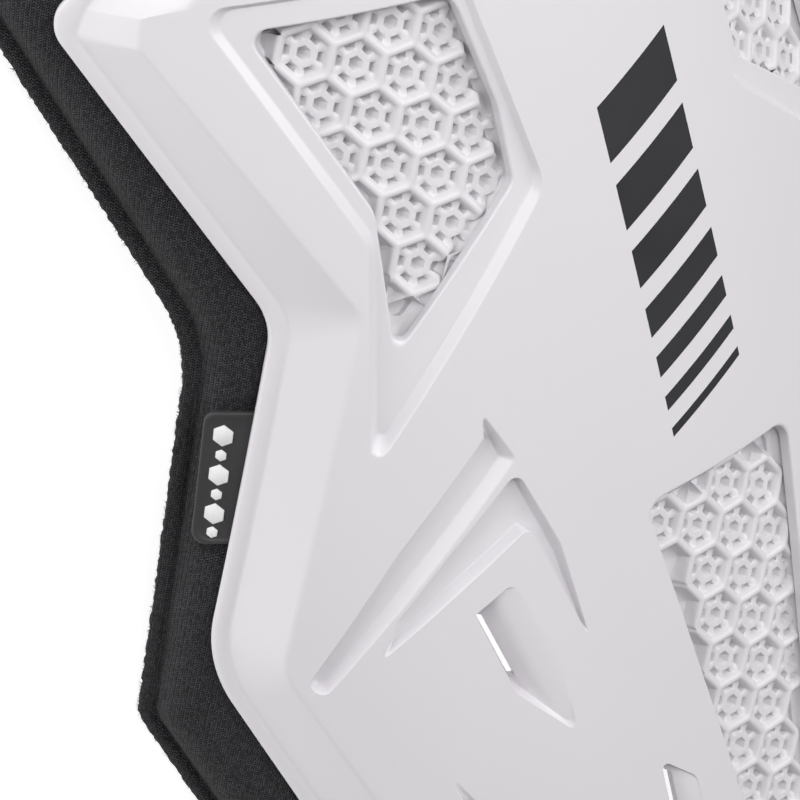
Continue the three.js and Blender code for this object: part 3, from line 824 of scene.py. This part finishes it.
def cell_sector(top, kind, before, after):
    """Points and faces of one sixth of a cell, pointing along +u; a face is a list of point numbers.
    A web has the small holes and a rib, and an open sector a web without its rib. In a blind cell, a rib
    stands on the floor, a fin has the fins too, and a floor or, beside fins, a bare sector has neither.
    The last two say whether the sixth before and the one after have ribs."""
    blind = kind in ("rib", "fin", "floor", "bare")
    profile = {"rib": RIB_ROWS, "floor": RIB_ROWS, "fin": FIN_ROWS, "bare": FIN_ROWS}.get(kind, WEB_ROWS)
    sinks = {"open": OPEN_SPOKE, "floor": CELL_FLOOR, "bare": CELL_FLOOR}.get(kind)
    hole_to = RIB if kind == "open" else WEB_TO
    marks = (RIB_FROM, RIB) if blind else (HOLE, WEB_FROM, WEB_MIDDLE, WEB_TO, RIB)
    sides = {"top": profile, "under": [r for r in profile if r.reach in marks]}
    points, faces, number = [], [], {}
    for face, lines in sides.items():
        for row in lines:
            for j, t in enumerate(CELL_COLUMNS):
                spoke = np.clip((abs(t) - HOLE_EDGE) / (1 - HOLE_EDGE), 0, 1)
                h, reach, across = row.beside + (row.spoke - row.beside) * spoke, row.reach, t
                if sinks is not None:
                    h = min(h, sinks) + max(0, h - sinks) * spoke * (before if t < 0 else after)
                if face == "under":
                    h, reach = -GRILLE_THICK, BACK_REACH.get(row.reach, row.reach)
                    across = t * BACK_COLUMN if abs(t) <= HOLE_EDGE else t
                number[face, row.reach, j] = len(points)
                points.append((reach, across * reach / math.sqrt(3), top + h))
        for a, b in zip(lines, lines[1:]):
            for j in range(len(CELL_COLUMNS) - 1):
                hole = max(abs(CELL_COLUMNS[j]), abs(CELL_COLUMNS[j + 1])) <= HOLE_EDGE
                if hole and not blind and WEB_FROM <= a.reach < hole_to:
                    continue
                quad = [number[face, r.reach, k] for r, k in [(a, j), (b, j), (b, j + 1), (a, j + 1)]]
                faces.append(quad if face == "top" else quad[::-1])

    def wall(line):
        for (r, j), (q, k) in zip(line, line[1:]):
            corners = [("top", r, j), ("top", q, k), ("under", q, k), ("under", r, j)]
            faces.append([number[corner] for corner in corners])

    wall([(profile[0].reach, j) for j in range(len(CELL_COLUMNS))])
    if not blind:
        low, high = [j for j, t in enumerate(CELL_COLUMNS) if abs(t) == HOLE_EDGE]
        along = [r for r in marks if WEB_FROM <= r <= hole_to]
        wall([(WEB_FROM, j) for j in range(high, low - 1, -1)])
        wall([(r, low) for r in along])
        wall([(r, high) for r in reversed(along)])
    if kind == "web":
        wall([(WEB_TO, j) for j in range(low, high + 1)])
    return np.array(points), faces


def turned(angle):
    """The turn by an angle, for points as rows."""
    return np.array([[math.cos(angle), math.sin(angle)], [-math.sin(angle), math.cos(angle)]])


LATTICE_SPAN = range(-18, 19)
Vent = namedtuple("Vent", "opening webs lattice top")
UPPER_VENT = Vent(UPPER_OPENING, inset(UPPER_OPENING, -0.3), UPPER_LATTICE, UPPER_GRILLE_TOP)
LOWER_VENT = Vent(whole(LOWER_OPENING_HALF), LOWER_WEBS, LOWER_LATTICE, LOWER_GRILLE_TOP)


def build_grille(name, vent, side, node_name):
    """A honeycomb grille: webbed cells below the opening, blind ones round them, and a frame."""
    skin = Skin()
    opening, webs, lattice, top = vent
    turn = math.radians(lattice.turn)
    webbed = outline(webs)
    laid, near, trim = [outline(opening, -d) for d in (CELLS_TO, NEAR_TO, TRIM_TO)]
    finned_from, finned_to = lattice.finned
    angles = [turn + math.radians(30 + 60 * k) for k in range(6)]

    def kind_of(middle, angle):
        """The kind of the sixth of a cell on one side."""
        beyond = middle + CELL_PITCH * np.array([math.cos(angle), math.sin(angle)])
        has_web, faces_web = inside(np.array([middle, beyond]), webbed)
        is_near, faces_near = inside(np.array([middle, beyond]), near)
        if has_web:
            return "open" if lattice.bare_end and math.cos(angle) > 0 and not faces_near else "web"
        if finned_from < middle[1] < finned_to:
            return "fin" if faces_web else "bare"
        if faces_web:
            return "floor" if lattice.bare_end and math.cos(angle) < 0 and not is_near else "rib"
        if np.hypot(*(middle - lattice.gap)) < 1:
            return "none"
        return "floor"

    sectors = {}
    for i in LATTICE_SPAN:
        for j in LATTICE_SPAN:
            step = np.array([CELL_PITCH * i * math.cos(math.pi / 6), -CELL_PITCH * (j + i / 2)])
            middle = step @ turned(turn) + (lattice.u, lattice.v)
            if not inside(middle[None], laid)[0]:
                continue
            kinds = [kind_of(middle, angle) for angle in angles]
            for k, angle in enumerate(angles):
                if kinds[k] == "none":
                    continue
                ribs_beside = [kinds[n % 6] in ("web", "rib", "fin") for n in (k - 1, k + 1)]
                key = (kinds[k], *ribs_beside)
                if key not in sectors:
                    sectors[key] = cell_sector(top, *key)
                sector, faces = sectors[key]
                placed = sector.copy()
                placed[:, :2] = sector[:, :2] @ turned(angle) + middle
                shows = inside(np.array([placed[f, :2].mean(0) for f in faces]), trim)
                skin.add(placed, [face for face, ok in zip(faces, shows) if ok])
    skin.loft([raised(outline(opening, d, guide=opening), top + h) for d, h in GRILLE_FRAME])

    def leaning(u, v, h):
        return u + math.tan(u / CHEST_RADIUS) * max(0, top - h - WEB_DROP), v, h

    skin.points = [leaning(*point) for point in skin.points]
    if side > 0:
        skin.points = [(-u, v, h) for u, v, h in skin.points]
        skin.faces = [face[::-1] for face in skin.faces]
    shown(name, skin, [grille_plastic], "moulded_grille", node_name, smooth_below=40)


# The pad's profile from its raw edge inwards: thin rim, pressed channel, and the swell up to the shell.
PAD_PROFILE = rows(
    Profile, (0, -18.7), (0.6, -18.1), (2.6, -17.9), (3.6, -18.3), (4.3, -18.9), (4.7, -19.1),
    (5.1, -19.0), (5.9, -18.2), (7.2, -16.6), (9.5, -14.3), (12.5, -12.9), (16, -12.2), (20, -12.1),
    (24, PAD_TOP),
)
PAD_STEPS = [0, 0.3, 0.6, 1.5, 2.6, 3.2, 3.6, 4, 4.3, 4.7, 5.1, 5.5, 5.9, 6.5, 7.2, 8.3, 9.5]
PAD_STEPS += [11, 12.5, 14, 16, 18, 20, 22, 24]
FRAY = 0.28
# The swell of the cover: where it is free, how softly that starts, and how far it goes at most.
SWELL_FROM, SWELL_TO = 5.5, 21.0
SWELL_BLEND = 4.0
SWELL_ABOVE = PAD_UNDER + 2.5
SWELL_CAP = 1.6
COVER_GRAIN = 0.005
COVER_PRESSURE = 4.0
COVER_FRAMES = 20


def pad_level(d, v):
    """The pad's upper height at a distance from its raw edge; beside the tag the cover is pressed flat."""
    crown = np.interp(d, [p.inset for p in PAD_PROFILE], [p.level for p in PAD_PROFILE])
    foot, head = TAG_BED
    beside_tag = np.clip(ease((v - head) / TAG_BLEND, 0.3) + ease((foot - v) / TAG_BLEND, 0.3), 0, 1)
    return np.minimum(crown, TAG_LEVEL + (crown - TAG_LEVEL) * beside_tag)


def tag_side(points):
    """v on the side of the tag; the other side has no tag, so a place far from it."""
    return np.where(points[:, 0] < 0, points[:, 1], 99.0)


def flattened(points):
    """The frame in metres back to flat u, v, h in millimetres."""
    x, y, z = np.asarray(points).T * 1000
    v = y + CENTRE_Y
    rise = z - REST_HEIGHT + CHEST_RADIUS + (v - SPINE_LEVEL_V) ** 2 / (2 * SPINE_RADIUS)
    return np.column_stack([CHEST_RADIUS * np.arctan2(x, rise), v, np.hypot(x, rise) - CHEST_RADIUS])


def swell_share(points, edge):
    """How freely the cover swells: not at the channel, below the shell, on the back or beside the tag."""
    flat = flattened(points)
    d = away_from(flat, edge)
    share = np.clip((d - SWELL_FROM) / SWELL_BLEND, 0, 1) * np.clip((SWELL_TO - d) / SWELL_BLEND, 0, 1)
    v = tag_side(flat)
    foot, head = TAG_HELD
    share *= np.clip(np.maximum((v - head) / TAG_BLEND, (foot - v) / TAG_BLEND), 0, 1)
    return share * (flat[:, 2] > SWELL_ABOVE)


def points_of(mesh):
    """A mesh's points as rows."""
    points = np.zeros(len(mesh.vertices) * 3)
    mesh.vertices.foreach_get("co", points)
    return points.reshape(-1, 3)


def swell(pad, edge):
    """The foam presses the cover out: a coarse copy is blown up as cloth, and the pad's points follow it."""
    copy = put_in("swell", pad.data.copy())
    remesh = copy.modifiers.new("coarse", "REMESH")
    remesh.mode = "VOXEL"
    remesh.voxel_size = COVER_GRAIN
    coarse = bpy.data.meshes.new_from_object(copy.evaluated_get(bpy.context.evaluated_depsgraph_get()))
    copy.modifiers.clear()
    copy.data = coarse
    start = points_of(coarse)
    held = copy.vertex_groups.new(name="held")
    for i, share in enumerate(swell_share(start, edge)):
        held.add([i], 1 - share, "REPLACE")
    cloth = copy.modifiers.new("cover", "CLOTH").settings
    cloth.use_pressure = True
    cloth.uniform_pressure_force = COVER_PRESSURE
    cloth.effector_weights.gravity = 0
    cloth.vertex_group_mass = "held"
    for step in range(1, COVER_FRAMES + 1):
        scene.frame_set(step)
    blown = copy.evaluated_get(bpy.context.evaluated_depsgraph_get())
    moves = points_of(blown.data) - start
    far = np.linalg.norm(moves, axis=1, keepdims=True)
    moves *= np.minimum(1, SWELL_CAP / 1000 / np.maximum(far, 1e-9))
    scene.frame_set(1)
    bpy.data.objects.remove(copy)

    near = KDTree(len(start))
    for i, place in enumerate(start):
        near.insert(place, i)
    near.balance()
    points = points_of(pad.data)
    for i in np.flatnonzero(swell_share(points, edge) > 0):
        found = near.find_n(points[i], 6)
        weights = np.array([1 / (gap + 1e-4) ** 2 for _, _, gap in found])
        points[i] += (moves[[k for _, k, _ in found]] * weights[:, None]).sum(0) / weights.sum()
    pad.data.vertices.foreach_set("co", points.ravel())
    pad.data.update()


def build_pad():
    """The foam pad in its knit cover, with the channel pressed in along its raw, slightly frayed edge."""
    skin = Skin()
    edge, hollow = whole(PAD_HALF), outline(whole(PAD_HOLLOW_HALF), step=4)

    def place(d):
        return outline(edge, d, step=1.2, guide=edge)

    fray = np.random.default_rng(5).uniform(-FRAY, FRAY, len(place(0)))
    outward = (place(0) - place(1)) * fray[:, None]
    under = [(3, PAD_UNDER), (0.4, PAD_UNDER + 0.3), (0, PAD_UNDER + 1.2)]
    rings = [raised(place(d), h) for d, h in under]
    rings += [raised(place(d), lambda p, d=d: pad_level(d, tag_side(p))) for d in PAD_STEPS]
    for ring in rings[2:5]:
        ring[:, :2] += outward
    skin.loft(rings)
    inner = [raised(hollow, h) for h in (PAD_UNDER, PAD_TOP)]
    skin.loft([inner[1], inner[0]])
    skin.fill(rings[-1], [inner[1]], lambda p: pad_level(np.full(len(p), 30.0), tag_side(p)), grid=6)
    skin.fill(rings[0], [inner[0]], PAD_UNDER, grid=8, up=False)
    pad = shown("pad", skin, [pad_knit], "knit_pad", "foam_pad", smooth_below=75)
    swell(pad, place(0))


# Thread ends along the raw edge: how many, how long, how thick, and between which heights they stand.
FIBRES = 3200
FIBRE_SHORT, FIBRE_LONG = 0.3, 1.0
FIBRE_THICK = 0.18
FIBRE_LOW, FIBRE_HIGH = PAD_UNDER + 1, -18.3


def build_fibres():
    """The loose thread ends that stand out of the pad's raw edge, each a thin spike."""
    skin = Skin()
    line = outline(whole(PAD_HALF), 0.3, step=1.2)
    ahead = np.roll(line, -1, axis=0) - line
    draw = np.random.default_rng(8)
    for i in draw.integers(len(line), size=FIBRES):
        way = ahead[i] / np.hypot(*ahead[i])
        out = np.array([way[1], -way[0]])
        root = line[i] + draw.random() * ahead[i]
        level = draw.uniform(FIBRE_LOW, FIBRE_HIGH)
        length = draw.uniform(FIBRE_SHORT, FIBRE_LONG)
        tip = root + (0.3 + length) * (out + draw.normal(0, 0.45) * way)
        half = 0.5 * FIBRE_THICK
        foot = [(*(root + s * way), level - half) for s in (-half, half)] + [(*root, level + half)]
        point = (*tip, level + length * draw.normal(0.1, 0.4))
        skin.add([*foot, point], [(0, 1, 3), (1, 2, 3), (2, 0, 3), (0, 2, 1)])
    shown("pad_fibres", skin, [pad_knit], "knit_pad")


# The tag's studs: how far along it from its head end, and the reach of each hexagon's corners.
Stud = namedtuple("Stud", "along reach")
STUDS = rows(Stud, (5.4, 2.9), (10.8, 1.6), (16.2, 2.9), (21.6, 1.6), (27, 2.9), (32.2, 1.6))
STUD_INSET = 5.3
STUD_RISE = 0.4


def build_tag():
    """The rubber tag: a soft plate with a raised border and a row of small hexagon studs."""
    skin = Skin()
    top = LIP_UNDER - 0.4
    bed = top - 0.3
    profile = [(0, -TAG_THICK), (0, -0.35), (0.15, -0.1), (0.4, 0), (1.0, 0), (1.25, -0.15), (1.45, -0.3)]
    rings = [raised(outline(TAG, d, step=1, guide=TAG), top + h) for d, h in profile]
    skin.loft(rings)
    head, foot = np.array(TAG[0][:2]), np.array(TAG[1][:2])
    along = (foot - head) / np.hypot(*(foot - head))
    across = np.array([-along[1], along[0]])
    feet = []
    for stud in STUDS:
        middle = head + along * stud.along + across * STUD_INSET
        corners = [
            Corner(*(middle + stud.reach * np.array([math.cos(a), math.sin(a)])), 0.25)
            for a in np.arange(6) * math.pi / 3 + math.atan2(along[1], along[0])
        ]
        steps = [(0, 0), (0.06, STUD_RISE - 0.12), (0.18, STUD_RISE)]
        stud_rings = [raised(outline(corners, d, step=1, guide=corners), bed + h) for d, h in steps]
        skin.loft(stud_rings, finish=1)
        skin.fill(stud_rings[-1], finish=1)
        feet.append(stud_rings[0])
    skin.fill(rings[-1], feet)
    skin.fill(rings[0], up=False)
    shown("tag", skin, [tag_rubber, stud_rubber], "rubber_tag", "rubber_tag", smooth_below=50)


build_shell()
build_grille("grille_left", UPPER_VENT, -1, "vent_grille_left")
build_grille("grille_right", UPPER_VENT, 1, "vent_grille_right")
build_grille("grille_centre", LOWER_VENT, -1, "vent_grille_centre")
build_pad()
build_fibres()
build_tag()

# The stage: a pale floor, a broad light above the plate, one on each side of it and a weak one at its foot.
floor_mesh = bpy.data.meshes.new("floor")
floor_mesh.from_pydata([(-3, -3, 0), (3, -3, 0), (3, 3, 0), (-3, 3, 0)], [], [(0, 1, 2, 3)])
floor_mesh.materials.append(matt_paper("matt_paper"))
floor = put_in("floor", floor_mesh)

Light = namedtuple("Light", "name direction distance size power")
LIGHTS = rows(
    Light,
    ("top", (-0.12, 0.45, 0.86), 2.2, 1.5, 33.5),
    ("left", (-0.74, 0.64, 0.22), 1.5, 0.8, 8.2),
    ("right", (0.6, 0.3, 0.75), 2.2, 1.2, 22.4),
    ("foot", (-0.2, -0.6, 0.75), 1.5, 0.8, 1.0),
)
SKY = 0.115
# The camera looks down over the left shoulder through a long lens.
CAMERA_AT = Vector((-0.63129, 0.54920, 0.89582))
CAMERA_BACK = Vector((-0.497553, 0.454893, 0.738589))
CAMERA_UP = Vector((0.437139, 0.866931, -0.239457))
CAMERA_LENS = 213.71


def aimed(obj, at, back, up):
    """Sets an object at a place with its -Z away from back and its Y to up."""
    right = up.cross(back).normalized()
    upright = back.cross(right).normalized()
    turn = Matrix((right, upright, back.normalized())).transposed().to_4x4()
    obj.matrix_world = Matrix.Translation(at) @ turn


for light in LIGHTS:
    lamp = bpy.data.lights.new(light.name, "AREA")
    lamp.size, lamp.energy = light.size, light.power
    way = Vector(light.direction).normalized()
    aimed(put_in(light.name, lamp), way * light.distance, way, Vector((0, 1, 0)))
world = bpy.data.worlds.new("studio")
world.use_nodes = True
feed(world.node_tree, world.node_tree.nodes["Background"], Color=(1, 1, 1, 1), Strength=SKY)
scene.world = world
scene.view_settings.view_transform = "Standard"

camera = bpy.data.cameras.new("camera")
camera.sensor_width = 36
camera.lens = CAMERA_LENS
camera.clip_start, camera.clip_end = 0.01, 20
scene.camera = put_in("camera", camera)
aimed(scene.camera, CAMERA_AT, CAMERA_BACK, CAMERA_UP)
